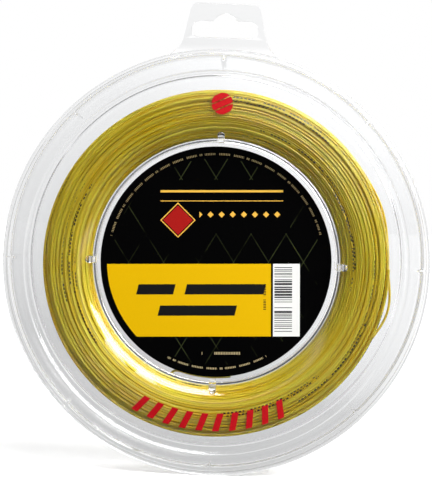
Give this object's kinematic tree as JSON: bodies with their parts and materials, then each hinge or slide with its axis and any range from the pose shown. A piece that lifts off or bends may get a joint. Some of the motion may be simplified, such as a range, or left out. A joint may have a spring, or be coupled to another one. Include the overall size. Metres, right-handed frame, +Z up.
{
  "type": "string reel",
  "caption": "Clear two-part plastic spool with a hang tab, wound with translucent yellow racket string, with a round label card in its hub recess.",
  "frame": {"origin": "on the reel's axis, halfway between the two flanges, where the two halves of the hub meet", "axes": "+Y along the reel's axis towards the rear flange, the label faces -Y; +Z up through the middle of the hang tab; +X to the right as seen from the front"},
  "size_m": [0.205, 0.0228, 0.2265],
  "materials": {
    "clear_plastic": "clear moulded polystyrene, polished",
    "string": "translucent golden polymer monofilament, glossy",
    "label_card": "black printed card, satin varnish",
    "yellow_sticker": "yellow printed paper sticker, satin",
    "white_sticker": "white paper sticker with a bar pattern"
  },
  "bodies": {
    "root": {"front_shell": "clear_plastic", "rear_shell": "clear_plastic", "string_start": "string", "string_winding": "string", "string_outer_turn": "string", "label_card": "label_card", "wide_sticker": "yellow_sticker", "barcode_sticker": "white_sticker"}
  },
  "joints": []
}
